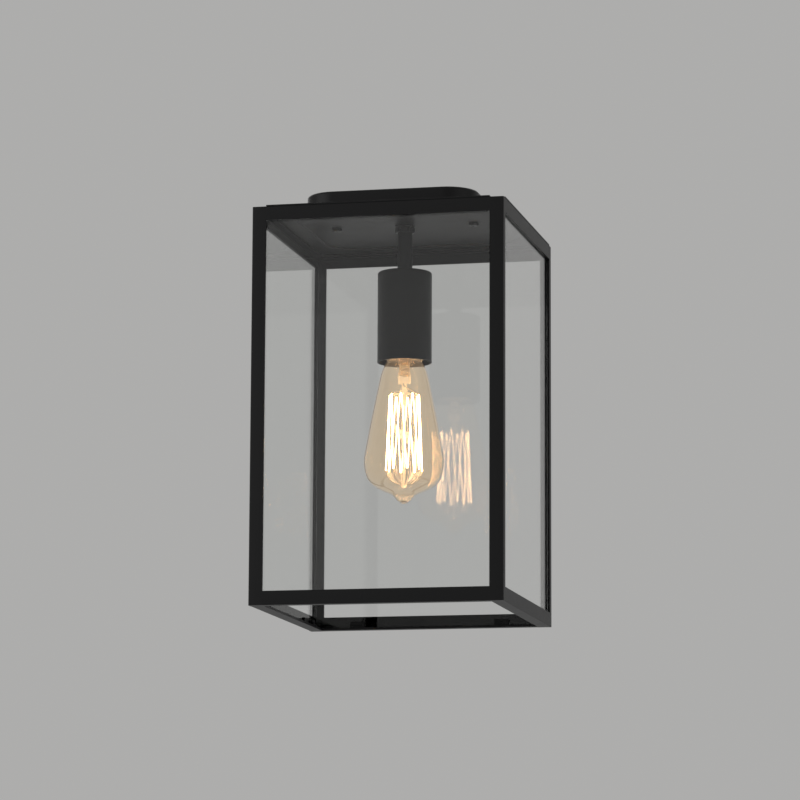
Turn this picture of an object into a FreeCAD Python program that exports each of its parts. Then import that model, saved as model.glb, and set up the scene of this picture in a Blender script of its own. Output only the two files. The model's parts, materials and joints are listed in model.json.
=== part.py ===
"""Porch ceiling lantern: a glazed box frame with an open bottom, hung under a pan.

Millimetres, +Z up. The origin is the middle of the face that meets the ceiling, so
everything hangs below z = 0. The front is -Y. Each function builds one piece, and
the names in PIECES are the names of the STEP files.
"""
import FreeCAD, Part
import math
import os

# --- Overall size ---
drop = 330.0                  # ceiling to the underside of the bottom rails
width = 200.0                 # outside, left to right
depth = 200.0                 # outside, front to back

# --- Frame sections ---
flange = 2.0                  # thickness of every rolled section
post_face = 11.0              # leg of a post seen from the front or back
post_return = 7.5             # leg of a post seen from the side
rail_height = 11.0            # upright leg of the rails
side_ledge = 10.5             # level leg of the bottom side rails
top_side_ledge = 8.0          # level leg of the top side rails
corner_radius = 1.0           # outer corner of a post
rail_radius = 0.6             # outer corner of a rail

# --- Glazing ---
glass = 3.0                   # thickness of the panes
pane_play = 0.3               # gap round the edges of a pane
pane_top_play = 4.5           # top edge of a pane below the frame's top
glass_arris = 0.3             # ground top edges
clip_width = 12.0
clip_height = 5.0
clip_sheet = 0.8
clip_spread = 60.0            # distance of each clip from the middle of its pane
clip_play = 0.3               # gap between a clip and its pane
clip_foot = 3.0               # leg of a clip along its ledge

# --- Lid ---
lid_sheet = 1.2
lid_rise = 1.2                # how far the middle panel is pressed up
lid_panel = 80.0              # half width of the pressed panel
lid_panel_radius = 28.0
lid_hole_play = 0.25          # radial play of a screw in the lid

# --- Ceiling pan ---
pan_half = 69.0
pan_radius = 25.0
pan_height = 14.8
pan_sheet = 1.2
pan_fold = 2.4                # outer radius between the base and the walls
slot_offset = 48.0            # centre of each ceiling slot from the middle
slot_length = 14.0
slot_width = 5.5
cable_x = -34.0
cable_y = 34.0
grommet_bore = 4.0            # radius
grommet_neck = 7.0            # radius in the pan's hole
grommet_flange = 9.5          # radius
grommet_collar = 2.0          # thickness of the flange
grommet_mouth = 0.8           # radius at the mouth
grommet_length = 5.0
fit_gap = 0.1                 # pieces that sit in one another

# --- Lid screws and the pillars that take them ---
pillar_x = 56.0
pillar_radius = 5.0
pillar_play = 0.5             # end of a pillar to the lid
pillar_ease = 0.5             # chamfer on its end
screw_radius = 2.0
screw_gap = 0.02              # radial gap of a screw in its thread
screw_length = 12.0
head_radius = 4.0
head_height = 2.4
head_edge = 1.2               # radius round the head
drive_width = 1.0             # arm of the cross recess
drive_depth = 1.3
drive_span = 4.4

# --- Terminal block ---
block_length = 30.0
block_depth = 17.0
block_height = 10.0
block_base = 5.0              # height of the strip between the towers
block_y = 30.0                # middle of the block
way_pitch = 9.0
tower_width = 7.6
barrel_radius = 2.05
barrel_bore = 1.1
clamp_radius = 1.25           # shank of a clamping screw
clamp_head = 1.8
clamp_slit = 0.6
clamp_slit_depth = 0.7
clamp_sunk = 0.4              # heads below the face of the block
barrel_inset = 1.0            # ends of a barrel inside the block
barrel_depth = 5.0            # middle of the barrels below the pan
clamp_offset = 4.5            # clamping screws from the middle of the block

# --- Earth terminal ---
earth_x = 34.0
earth_y = -34.0
earth_washer = 4.5            # radius
earth_washer_sheet = 1.0
earth_nut = 7.0               # across flats
earth_nut_height = 3.2
earth_stud = 7.8              # length

# --- Stem ---
nipple_radius = 5.0
nipple_bore = 3.5
stem_radius = 6.0
nut_flats = 14.0
nut_height = 5.0
washer_sheet = 1.0
washer_radius = 8.1
lock_nut_height = 3.2
lock_washer = 0.8
tooth_count = 12
tooth_gap = 1.4
tooth_reach = 1.2             # teeth of the lock washer beyond the plain part
nipple_stub = 0.8             # nipple beyond its nut
nipple_grip = 12.0            # nipple inside the stem

# --- Lampholder ---
holder_top = 54.2             # below the ceiling
holder_length = 73.0
holder_radius = 21.65
holder_sheet = 1.2
holder_edge = 1.6             # radius of the shoulder
lip_radius = 0.55             # rolled bead at the mouth
core_radius = 19.8
core_recess = 4.2             # mouth of the shell below the core
core_cavity = 14.0            # radius
core_floor = 8.0              # ceramic above the cavity
core_ease = 1.2               # chamfer round the top
core_lip = 0.8                # chamfers at the mouth
sleeve_sheet = 0.4
sleeve_gap = 0.4              # radial, between lamp cap and sleeve
sleeve_length = 14.0          # three and a half turns of thread
tab_width = 5.0
rivet_radius = 1.4
rivet_inset = 2.0             # live rivet nearer the middle than its clamp
contact_play = 0.3            # leaf contact above the lamp's tip contact
contact_sheet = 0.5
leaf_drop = 3.5               # cavity roof above the lamp's tip contact
leaf_width = 4.8
leaf_reach = 3.4              # leaf beyond the axis
leaf_bend = 1.6               # where it levels out, from the axis
bridge_sheet = 1.2
bridge_width = 12.0
bridge_leg = 12.0             # inside of each leg from the middle
bridge_foot = 5.5
bridge_screw = 1.5            # radius
bridge_head = 2.4             # radius
bridge_head_height = 1.4
bridge_screw_length = 5.0
terminal_x = 11.0
terminal_size = 6.0
terminal_screw = 1.6          # radius
terminal_screw_head = 1.2
terminal_hole_floor = 1.5

# --- Leads inside the lantern ---
lead_radius = 0.9
lead_circle = 1.5             # centres of the three leads in the stem
lead_bend = 3.6
lead_grip = 3.0               # lead inside its barrel
lead_turn = 13.0              # where the leads turn in towards the stem
lead_drop = 4.0               # straight run below the strap
lead_slant = 8.5              # height over which a lead reaches its clamp
lead_end = 2.5                # end of a lead below its clamp's top
lead_touch = 0.05             # earth lead to the strap's leg

# --- Lamp ---
lamp_length = 145.0           # tip to contact
lamp_hang = 113.2             # tip below the lampholder's shell
lamp_radius = 32.0
belly_height = 33.0           # widest place above the tip
neck_radius = 12.6
neck_round = 1.0              # lower end of the straight neck below the cap
knob_radius = 10.0
knob_height = 6.8
glass_wall = 0.8
cap_length = 27.0             # rim to contact
cap_radius = 13.1
cap_sheet = 0.3
cap_slope = 2.6               # height of the cap's sloping shoulder
cap_shoulder = 9.6            # radius of the opening at the top of the cap
cap_lip = 0.4                 # width of that opening's edge
cap_crown = 3.4               # insulator and contact above the cap
contact_radius = 4.8
contact_height = 1.0
neck_grip = 3.0               # glass inside the cap
mount_radius = 4.4
flare_round = 2.4
mount_height = 106.0          # upper end of the pinch above the tip
pinch_fall = 3.0              # height over which the tube is flattened
pinch_length = 7.0
pinch_half = 5.2
pinch_thin = 2.0
hub_height = 88.0             # bead that carries the upper hooks
bead_height = 15.5            # bead that carries the lower hooks
bead_radius = 2.4
post_rod = 1.1                # radius of the glass rod
wire_radius = 0.35
wire_bend = 2.0
wire_gap = 0.1                # wire ends to the filament
filament_radius = 0.3
hook_half = 0.45              # half the gap between two strands at a hook
lead_in_angle = 8.0           # lead-in wires to either side of the X axis
cage_top = 12.0               # radius of the filament at the upper hooks
cage_bottom = 14.6
cage_top_height = 87.0
cage_bottom_height = 26.5
cage_loops = 8

# --- Levels worked out from the sizes above ---
lid_top = -pan_height                       # upper face of the pressed panel
lid_under = lid_top - lid_sheet
frame_top = lid_under - lid_rise
frame_bottom = -drop
half_x = width / 2
half_y = depth / 2
pane_x = half_x - flange                    # outer face of a side pane
pane_y = half_y - flange
ledge_top = frame_bottom + flange
stem_washer_z = lid_under - washer_sheet
stem_nut_z = stem_washer_z - nut_height
lock_washer_z = lid_top + lock_washer
lock_nut_z = lock_washer_z + lock_nut_height
holder_bottom = -holder_top - holder_length
core_bottom = holder_bottom + core_recess
holder_roof = -holder_top - holder_sheet
holder_nut_z = holder_roof - lock_nut_height
bridge_z = holder_nut_z - bridge_sheet
lamp_tip = holder_bottom - lamp_hang
lamp_contact = lamp_tip + lamp_length
cap_rim = lamp_contact - cap_length
cap_top = lamp_contact - cap_crown
cavity_roof = lamp_contact + leaf_drop
core_top = cavity_roof + core_floor
terminal_z = -pan_sheet - barrel_depth
lead_z = terminal_z


def vec(x, y, z):
    return FreeCAD.Vector(x, y, z)


def box(x0, x1, y0, y1, z0, z1):
    return Part.makeBox(x1 - x0, y1 - y0, z1 - z0, vec(x0, y0, z0))


def rod(x, y, z0, z1, radius):
    return Part.makeCylinder(radius, z1 - z0, vec(x, y, z0))


def ring(x, y, z0, z1, outer, inner):
    return rod(x, y, z0, z1, outer).cut(rod(x, y, z0, z1, inner))


def prism(x, y, z0, z1, flats, sides=6):
    corner = flats / 2 / math.cos(math.pi / sides)
    points = []
    for i in range(sides + 1):
        a = 2 * math.pi * i / sides
        points.append(vec(x + corner * math.cos(a), y + corner * math.sin(a), z0))
    return Part.Face(Part.makePolygon(points)).extrude(vec(0, 0, z1 - z0))


def wire_from(points):
    """Straight edges through (r, z) pairs, closed, in the XZ plane."""
    corners = [vec(r, 0, z) for r, z in points]
    corners.append(corners[0])
    return Part.makePolygon(corners)


def lathe(points):
    return Part.Face(wire_from(points)).revolve(vec(0, 0, 0), vec(0, 0, 1), 360)


def extruded(points, axis_from, axis_to, plane):
    """Polygon given in 'XZ' or 'YZ', extruded along the axis that is left."""
    if plane == "XZ":
        corners = [vec(a, axis_from, b) for a, b in points]
        way = vec(0, axis_to - axis_from, 0)
    else:
        corners = [vec(axis_from, a, b) for a, b in points]
        way = vec(axis_to - axis_from, 0, 0)
    corners.append(corners[0])
    return Part.Face(Part.makePolygon(corners)).extrude(way)


def rounded_square(half, radius, z):
    """Closed wire of a square with round corners, at height z."""
    inner = half - radius
    edges = []
    for i in range(4):
        turn = math.pi / 2 * i
        c, s = round(math.cos(turn)), round(math.sin(turn))
        centre = vec(inner * (c - s), inner * (s + c), z)
        start = vec(half * c - inner * s, half * s + inner * c, z)
        end = vec(inner * c - half * s, inner * s + half * c, z)
        middle = centre + vec((c - s), (s + c), 0) * (radius / math.sqrt(2))
        before = vec(half * c + inner * s, half * s - inner * c, z)
        edges.append(Part.LineSegment(before, start).toShape())
        edges.append(Part.Arc(start, middle, end).toShape())
    return Part.Wire(edges)


def rounded_plate(half, radius, z0, z1):
    return Part.Face(rounded_square(half, radius, z0)).extrude(vec(0, 0, z1 - z0))


def slot(x, y, z0, z1, length, breadth):
    """Round-ended slot along Y."""
    r = breadth / 2
    reach = length / 2 - r
    body = box(x - r, x + r, y - reach, y + reach, z0, z1)
    return body.fuse(rod(x, y - reach, z0, z1, r)).fuse(rod(x, y + reach, z0, z1, r))


def turned(shape, degrees):
    copy = shape.copy()
    copy.rotate(vec(0, 0, 0), vec(0, 0, 1), degrees)
    return copy


def mirrored(shape, x_side, y_side):
    copy = shape
    if x_side < 0:
        copy = copy.mirror(vec(0, 0, 0), vec(1, 0, 0))
    if y_side < 0:
        copy = copy.mirror(vec(0, 0, 0), vec(0, 1, 0))
    return copy


def clean(shape):
    return shape.removeSplitter()


# --- Frame ---

def post(x_side, y_side):
    """Unequal angle, as tall as the frame, with its outer corner eased."""
    height = frame_top - frame_bottom
    face = box(half_x - post_face, half_x, half_y - flange, half_y, 0, height)
    back = box(half_x - flange, half_x, half_y - post_return, half_y, 0, height)
    angle = clean(face.fuse(back))
    outer = [e for e in angle.Edges
             if e.CenterOfMass.x > half_x - 0.01 and e.CenterOfMass.y > half_y - 0.01
             and e.Length > height - 1]
    angle = angle.makeFillet(corner_radius, outer)
    angle.translate(vec(0, 0, frame_bottom))
    return mirrored(angle, x_side, y_side)


def angle_rail(outside, length, ledge, ledge_at_top):
    """Angle along X, its upright leg at -Y, from z = 0 up to the rail's height."""
    low = rail_height - flange if ledge_at_top else 0
    upright = box(-length / 2, length / 2, -outside, -outside + flange, 0, rail_height)
    level = box(-length / 2, length / 2, -outside, -outside + ledge, low, low + flange)
    rail = clean(upright.fuse(level))
    corner_z = rail_height if ledge_at_top else 0
    outer = [e for e in rail.Edges
             if abs(e.CenterOfMass.z - corner_z) < 0.01
             and abs(e.CenterOfMass.y + outside) < 0.01 and e.Length > length - 1]
    return rail.makeFillet(rail_radius, outer)


def front_rail(ledge_at_top):
    """The level leg runs on behind the posts' returns and closes the corners."""
    rail = angle_rail(half_y, width - 2 * post_face, post_return, ledge_at_top)
    low = rail_height - flange if ledge_at_top else 0
    inner = half_y - post_return
    ears = box(-pane_x, pane_x, -pane_y, -inner, low, low + flange)
    return clean(rail.fuse(ears))


def rail(side, at_top):
    z = frame_top - rail_height if at_top else frame_bottom
    if side in ("front", "back"):
        shape = front_rail(at_top)
        turn = {"front": 0, "back": 180}[side]
    else:
        ledge = top_side_ledge if at_top else side_ledge
        shape = angle_rail(half_x, depth - 2 * post_return, ledge, at_top)
        turn = {"left": -90, "right": 90}[side]
    shape = turned(shape, turn)
    shape.translate(vec(0, 0, z))
    return shape


def pane(side):
    """Stands on the bottom ledge, with its edges behind the upright legs."""
    z1 = frame_top - pane_top_play
    if side in ("front", "back"):
        reach = pane_x - pane_play
        outside = pane_y
    else:
        reach = pane_y - glass - pane_play
        outside = pane_x
    sheet = box(-reach, reach, -outside, -outside + glass, ledge_top, z1)
    long_edges = [e for e in sheet.Edges if abs(e.CenterOfMass.z - z1) < 0.01]
    sheet = sheet.makeChamfer(glass_arris, long_edges)
    turn = {"front": 0, "back": 180, "left": -90, "right": 90}[side]
    return turned(sheet, turn)


def pane_clips():
    """Two folded tabs on each bottom ledge, just inside the glass."""
    clips = []
    sides = ((half_y, post_return, 0), (half_x, side_ledge, 90),
             (half_y, post_return, 180), (half_x, side_ledge, 270))
    for outside, ledge, turn in sides:
        face = -outside + flange + glass + clip_play
        foot = min(clip_foot, -outside + ledge - face - clip_play)
        for x in (-clip_spread, clip_spread):
            up = box(x - clip_width / 2, x + clip_width / 2, face, face + clip_sheet,
                     ledge_top, ledge_top + clip_height)
            flat = box(x - clip_width / 2, x + clip_width / 2, face, face + foot,
                       ledge_top, ledge_top + clip_sheet)
            clips.append(turned(clean(up.fuse(flat)), turn))
    return Part.makeCompound(clips)


# --- Lid and ceiling pan ---

def lid():
    """Sheet with notched corners and a shallow panel pressed up in the middle."""
    z0 = frame_top
    z1 = z0 + lid_sheet
    sheet = box(-half_x + post_face, half_x - post_face, -half_y, half_y, z0, z1)
    sheet = sheet.fuse(box(-half_x, half_x, -half_y + post_return,
                           half_y - post_return, z0, z1))
    slope = lid_rise
    outer = Part.makeLoft([rounded_square(lid_panel + lid_sheet / 2, lid_panel_radius, z1),
                           rounded_square(lid_panel + lid_sheet / 2 - slope,
                                          lid_panel_radius - slope, z1 + lid_rise)],
                          True, True)
    inner = Part.makeLoft([rounded_square(lid_panel, lid_panel_radius, z0),
                           rounded_square(lid_panel - slope, lid_panel_radius - slope,
                                          z0 + lid_rise)],
                          True, True)
    sheet = clean(sheet.fuse(outer)).cut(inner)
    for x in (-pillar_x, pillar_x):
        sheet = sheet.cut(rod(x, 0, z0, lid_top, screw_radius + lid_hole_play))
    return sheet.cut(rod(0, 0, z0, lid_top, nipple_radius + fit_gap))


def ceiling_pan():
    """Pressed tray, its base against the ceiling and its rim on the lid."""
    body = rounded_plate(pan_half, pan_radius, -pan_height, 0)
    rim = [e for e in body.Edges if abs(e.BoundBox.ZMin) < 0.001 and abs(e.BoundBox.ZMax) < 0.001]
    body = body.makeFillet(pan_fold, rim)
    void = rounded_plate(pan_half - pan_sheet, pan_radius - pan_sheet, -pan_height, -pan_sheet)
    top = [e for e in void.Edges if abs(e.BoundBox.ZMin + pan_sheet) < 0.001]
    void = void.makeFillet(pan_fold - pan_sheet, top)
    body = body.cut(void)
    for y in (-slot_offset, slot_offset):
        body = body.cut(slot(0, y, -pan_sheet, 0, slot_length, slot_width))
    body = body.cut(rod(cable_x, cable_y, -pan_sheet, 0, grommet_neck + fit_gap))
    return body


def cable_grommet():
    low = -grommet_length
    sleeve = rod(cable_x, cable_y, low, 0, grommet_neck)
    collar = rod(cable_x, cable_y, -pan_sheet - grommet_collar, -pan_sheet, grommet_flange)
    body = clean(sleeve.fuse(collar))
    mouth = [e for e in body.Edges if abs(e.BoundBox.ZMax - low) < 0.001]
    body = body.makeFillet(grommet_mouth, mouth)
    return body.cut(rod(cable_x, cable_y, low, 0, grommet_bore))


def lid_pillars():
    pillars = []
    low = lid_top + pillar_play
    for x in (-pillar_x, pillar_x):
        pillar = rod(x, 0, low, -pan_sheet, pillar_radius)
        foot = [e for e in pillar.Edges if abs(e.BoundBox.ZMax - low) < 0.001]
        pillar = pillar.makeChamfer(pillar_ease, foot)
        pillars.append(pillar.cut(rod(x, 0, low, -pan_sheet, screw_radius + screw_gap)))
    return Part.makeCompound(pillars)


def lid_screws():
    """Pan heads with a cross recess, driven up through the lid."""
    screws = []
    top = min(lid_under + screw_length, -pan_sheet - lid_hole_play)
    for x in (-pillar_x, pillar_x):
        head = rod(x, 0, lid_under - head_height, lid_under, head_radius)
        crown = [e for e in head.Edges
                 if abs(e.BoundBox.ZMax - lid_under + head_height) < 0.001]
        head = head.makeFillet(head_edge, crown)
        half = drive_span / 2
        arm = drive_width / 2
        z0 = lid_under - head_height
        cross = box(x - half, x + half, -arm, arm, z0, z0 + drive_depth)
        cross = cross.fuse(box(x - arm, x + arm, -half, half, z0, z0 + drive_depth))
        screw = head.cut(cross).fuse(rod(x, 0, lid_under, top, screw_radius))
        screws.append(clean(screw))
    return Part.makeCompound(screws)


# --- Wiring inside the pan ---

def way_places():
    return [-way_pitch, 0.0, way_pitch]


def terminal_block():
    top = -pan_sheet
    low = top - block_height
    y0 = block_y - block_depth / 2
    y1 = block_y + block_depth / 2
    body = box(-block_length / 2, block_length / 2, y0, y1, top - block_base, top)
    for x in way_places():
        tower = box(x - tower_width / 2, x + tower_width / 2, y0, y1, low, top)
        body = body.fuse(tower)
    body = clean(body)
    for x in way_places():
        bore = Part.makeCylinder(barrel_radius + fit_gap, block_depth,
                                 vec(x, y0, terminal_z), vec(0, 1, 0))
        body = body.cut(bore)
        for y in (block_y - clamp_offset, block_y + clamp_offset):
            body = body.cut(rod(x, y, low, terminal_z, clamp_head + fit_gap))
    return body


def terminal_barrels():
    barrels = []
    length = block_depth - 2 * barrel_inset
    y0 = block_y - length / 2
    for x in way_places():
        barrel = Part.makeCylinder(barrel_radius, length, vec(x, y0, terminal_z), vec(0, 1, 0))
        bore = Part.makeCylinder(barrel_bore, length, vec(x, y0, terminal_z), vec(0, 1, 0))
        barrel = barrel.cut(bore)
        for y in (block_y - clamp_offset, block_y + clamp_offset):
            hole = rod(x, y, terminal_z - barrel_radius, terminal_z, clamp_radius + screw_gap)
            barrel = barrel.cut(hole)
        barrels.append(barrel)
    return Part.makeCompound(barrels)


def terminal_screws():
    screws = []
    tip = terminal_z - barrel_bore
    head = terminal_z - barrel_radius - fit_gap
    low = -pan_sheet - block_height + clamp_sunk
    for x in way_places():
        for y in (block_y - clamp_offset, block_y + clamp_offset):
            screw = rod(x, y, head, tip, clamp_radius).fuse(rod(x, y, low, head, clamp_head))
            slit = box(x - clamp_head, x + clamp_head, y - clamp_slit / 2,
                       y + clamp_slit / 2, low, low + clamp_slit_depth)
            screws.append(clean(screw.cut(slit)))
    return Part.makeCompound(screws)


def earth_terminal():
    top = -pan_sheet
    seat = top - earth_washer_sheet
    washer = rod(earth_x, earth_y, seat, top, earth_washer)
    nut = prism(earth_x, earth_y, seat - earth_nut_height, seat, earth_nut)
    stud = rod(earth_x, earth_y, top - earth_stud, top, screw_radius)
    return clean(washer.fuse(nut).fuse(stud))


# --- Stem ---

def stem_nipple():
    top = lock_nut_z + nipple_stub
    return ring(0, 0, stem_nut_z - nipple_grip, top, nipple_radius, nipple_bore)


def nut_at(z0, height, flats):
    """Hexagon nut with its corners eased at both faces."""
    body = prism(0, 0, z0, z0 + height, flats)
    corner = flats / math.sqrt(3)
    ease = corner - flats / 2
    cone = lathe([(0, z0), (flats / 2, z0), (corner, z0 + ease * 0.6),
                  (corner, z0 + height - ease * 0.6), (flats / 2, z0 + height),
                  (0, z0 + height)])
    body = body.common(cone)
    return body.cut(rod(0, 0, z0, z0 + height, nipple_radius + screw_gap))


def stem_nut():
    return nut_at(stem_nut_z, nut_height, nut_flats)


def stem_washer():
    return ring(0, 0, stem_washer_z, lid_under, washer_radius, nipple_radius + fit_gap)


def lock_washer_piece():
    outer = washer_radius + tooth_reach
    body = ring(0, 0, lid_top, lock_washer_z, outer, nipple_radius + fit_gap)
    for i in range(tooth_count):
        notch = box(washer_radius, 2 * outer, -tooth_gap / 2, tooth_gap / 2,
                    lid_top, lock_washer_z)
        body = body.cut(turned(notch, 360 * i / tooth_count))
    return body


def lock_nut():
    return nut_at(lock_washer_z, lock_nut_height, nut_flats)


def stem_tube():
    tube = ring(0, 0, -holder_top, stem_nut_z, stem_radius, nipple_radius + screw_gap)
    return tube


# --- Lampholder ---

def holder_shell():
    """Deep drawn cup with a soft shoulder and a rolled bead round its mouth."""
    r = holder_radius
    t = holder_sheet
    z1 = -holder_top
    e = holder_edge
    bead = lip_radius
    low = holder_bottom
    s = math.sqrt(0.5)
    hole = nipple_radius + fit_gap
    shoulder = vec(r - e + e * s, 0, z1 - e + e * s)
    inner_e = max(e - t, 0.2)
    inner = vec(r - t - inner_e + inner_e * s, 0, z1 - t - inner_e + inner_e * s)
    roll = vec(r + bead * 0.3, 0, low + bead)
    edges = [
        Part.LineSegment(vec(hole, 0, z1), vec(r - e, 0, z1)),
        Part.Arc(vec(r - e, 0, z1), shoulder, vec(r, 0, z1 - e)),
        Part.LineSegment(vec(r, 0, z1 - e), vec(r, 0, low + 2 * bead)),
        Part.Arc(vec(r, 0, low + 2 * bead), roll, vec(r - 0.2, 0, low)),
        Part.LineSegment(vec(r - 0.2, 0, low), vec(r - t, 0, low)),
        Part.LineSegment(vec(r - t, 0, low), vec(r - t, 0, z1 - t - inner_e)),
        Part.Arc(vec(r - t, 0, z1 - t - inner_e), inner, vec(r - t - inner_e, 0, z1 - t)),
        Part.LineSegment(vec(r - t - inner_e, 0, z1 - t), vec(hole, 0, z1 - t)),
        Part.LineSegment(vec(hole, 0, z1 - t), vec(hole, 0, z1)),
    ]
    profile = Part.Wire([edge.toShape() for edge in edges])
    return Part.Face(profile).revolve(vec(0, 0, 0), vec(0, 0, 1), 360)


def holder_nipple():
    low = bridge_z - nipple_stub
    return ring(0, 0, low, -holder_top + nipple_grip, nipple_radius, nipple_bore)


def holder_nut():
    return nut_at(holder_nut_z, lock_nut_height, nut_flats)


def holder_bridge():
    """Folded steel strap that screws on the nipple and carries the ceramic core."""
    t = bridge_sheet
    x = bridge_width / 2
    z1 = holder_nut_z
    out = bridge_leg + t + bridge_foot
    points = [(-bridge_leg - t, z1), (bridge_leg + t, z1), (bridge_leg + t, core_top + t),
              (out, core_top + t), (out, core_top), (bridge_leg, core_top),
              (bridge_leg, z1 - t), (-bridge_leg, z1 - t), (-bridge_leg, core_top),
              (-out, core_top), (-out, core_top + t), (-bridge_leg - t, core_top + t)]
    strap = extruded(points, -x, x, "YZ")
    strap = strap.cut(rod(0, 0, z1 - t, z1, nipple_radius + screw_gap))
    for side in (-1, 1):
        y = side * (bridge_leg + t + bridge_foot / 2)
        strap = strap.cut(rod(0, y, core_top, core_top + t, bridge_screw + fit_gap))
    return strap


def bridge_screws():
    screws = []
    seat = core_top + bridge_sheet
    for side in (-1, 1):
        y = side * (bridge_leg + bridge_sheet + bridge_foot / 2)
        shank = rod(0, y, seat - bridge_screw_length, seat, bridge_screw)
        head = rod(0, y, seat, seat + bridge_head_height, bridge_head)
        screws.append(clean(shank.fuse(head)))
    return Part.makeCompound(screws)


def rivet_places():
    """Live rivet, then neutral rivet, on the X axis."""
    return terminal_x - rivet_inset, -terminal_x


def holder_core():
    """Ceramic cup that holds the sleeve, with its contacts riveted through."""
    r = core_radius
    c = core_cavity
    lip = core_lip
    body = lathe([(0, cavity_roof), (c, cavity_roof), (c, core_bottom + lip),
                  (c + lip, core_bottom), (r - lip, core_bottom), (r, core_bottom + lip),
                  (r, core_top - core_ease), (r - core_ease, core_top), (0, core_top)])
    for x in rivet_places():
        body = body.cut(rod(x, 0, cavity_roof, core_top, rivet_radius + screw_gap))
    for side in (-1, 1):
        y = side * (bridge_leg + bridge_sheet + bridge_foot / 2)
        depth_z = core_top - bridge_screw_length
        body = body.cut(rod(0, y, depth_z, core_top, bridge_screw + screw_gap))
    return body


def holder_terminals():
    """Two brass clamps on the core, each with a lead hole and a side screw."""
    h = terminal_size / 2
    clamps = []
    for x in (-terminal_x, terminal_x):
        side = 1 if x > 0 else -1
        block = box(x - h, x + h, -h, h, core_top, core_top + terminal_size)
        block = block.cut(rod(x, 0, core_top + terminal_hole_floor,
                              core_top + terminal_size, lead_radius + fit_gap))
        start = vec(x + side * h, 0, core_top + h)
        head = Part.makeCylinder(terminal_screw, terminal_screw_head, start,
                                 vec(side, 0, 0))
        clamps.append(clean(block.fuse(head)))
    return Part.makeCompound(clamps)


def holder_sleeve():
    """Brass sleeve that takes the lamp cap, with a tab up to its terminal."""
    inner = cap_radius + sleeve_gap
    outer = inner + sleeve_sheet
    top = cap_top - fit_gap
    sleeve = ring(0, 0, top - sleeve_length, top, outer, inner)
    x = rivet_places()[1]
    roof = cavity_roof
    half = tab_width / 2
    tab = box(-outer, -inner / 2, -half, half, top - 2 * sleeve_sheet, roof)
    tab = tab.common(ring(0, 0, top - 2 * sleeve_sheet, roof, outer, inner))
    foot = box(-outer, x + rivet_inset, -half, half, roof - sleeve_sheet, roof)
    foot = foot.common(rod(0, 0, roof - sleeve_sheet, roof, outer))
    rivet = rod(x, 0, roof - sleeve_sheet, core_top, rivet_radius)
    return clean(sleeve.fuse(tab).fuse(foot).fuse(rivet))


def centre_contact():
    """Springy brass leaf above the lamp's tip contact, riveted at one end."""
    x = rivet_places()[0]
    roof = cavity_roof
    t = contact_sheet
    low = lamp_contact + contact_play
    half = leaf_width / 2
    tip = -leaf_reach
    points = [(x + half, roof), (x - half, roof), (leaf_bend, low + 1.4 * t),
              (tip, low + t), (tip - 2.4 * t, low + 2.8 * t), (tip - 3 * t, low + 1.8 * t),
              (tip - 0.4 * t, low), (leaf_bend + 0.4 * t, low), (x - half + 0.4 * t, roof - t),
              (x + half, roof - t)]
    leaf = extruded(points, -half, half, "XZ")
    rivet = rod(x, 0, roof - t, core_top, rivet_radius)
    return clean(leaf.fuse(rivet))


# --- Leads ---

def path_wire(points, radius):
    """Straight runs joined by tangent arcs of up to the given radius."""
    edges = []
    bends = []
    start = points[0]
    for i in range(1, len(points) - 1):
        corner = points[i]
        a = points[i - 1] - corner
        b = points[i + 1] - corner
        reach_limit = 0.45 * min(a.Length, b.Length)
        a.normalize()
        b.normalize()
        turn = math.pi - math.acos(max(-1.0, min(1.0, a.dot(b))))
        if turn < 0.001:
            continue
        reach = min(radius * math.tan(turn / 2), reach_limit)
        bend = reach / math.tan(turn / 2)
        bends.append(round(bend, 2))
        p = corner + a * reach
        q = corner + b * reach
        middle_way = a + b
        middle_way.normalize()
        centre = corner + middle_way * math.hypot(bend, reach)
        middle = centre - middle_way * bend
        edges.append(Part.LineSegment(start, p).toShape())
        edges.append(Part.Arc(p, middle, q).toShape())
        start = q
    edges.append(Part.LineSegment(start, points[-1]).toShape())
    return Part.Wire(edges), bends


def swept(points, bend, radius):
    path = path_wire([vec(*p) for p in points], bend)[0]
    first = path.OrderedEdges[0]
    way = first.tangentAt(first.FirstParameter)
    circle = Part.Wire(Part.makeCircle(radius, vec(*points[0]), way))
    return path.makePipeShell([circle], True, False)


def lead_places():
    """Live, earth and neutral: places in the stem's bore."""
    places = []
    for degrees in (210, 90, 330):
        a = math.radians(degrees)
        places.append((lead_circle * math.cos(a), lead_circle * math.sin(a)))
    return places


def lead(way, stem_place, tail):
    """From a terminal in the pan, over the nipple, down the stem, then the tail."""
    x, y = stem_place
    y_in = block_y - block_depth / 2 + lead_grip
    points = [(way, y_in, lead_z), (way, lead_turn, lead_z), (x, y, lead_z)] + tail
    print("bend radii", path_wire([vec(*p) for p in points], lead_bend)[1])
    return swept(points, lead_bend, lead_radius)


def clamp_tail(stem_place, side):
    """From below the strap out to a clamp on the core, and down into it."""
    x, y = stem_place
    low = bridge_z - lead_drop
    end = core_top + terminal_size - lead_end
    clamp = side * terminal_x
    return [(x, y, low), (clamp, 0, low - lead_slant), (clamp, 0, end)]


def live_lead():
    place = lead_places()[2]
    return lead(way_pitch, place, clamp_tail(place, 1))


def neutral_lead():
    place = lead_places()[0]
    return lead(-way_pitch, place, clamp_tail(place, -1))


def earth_lead():
    x, y = lead_places()[1]
    low = bridge_z - lead_drop
    slant = lead_drop * 1.5
    tail = [(x, y, low), (x, y + lead_drop, low - slant),
            (x, bridge_leg - lead_touch, low - slant)]
    return lead(0.0, (x, y), tail)


# --- Lamp ---

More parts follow.
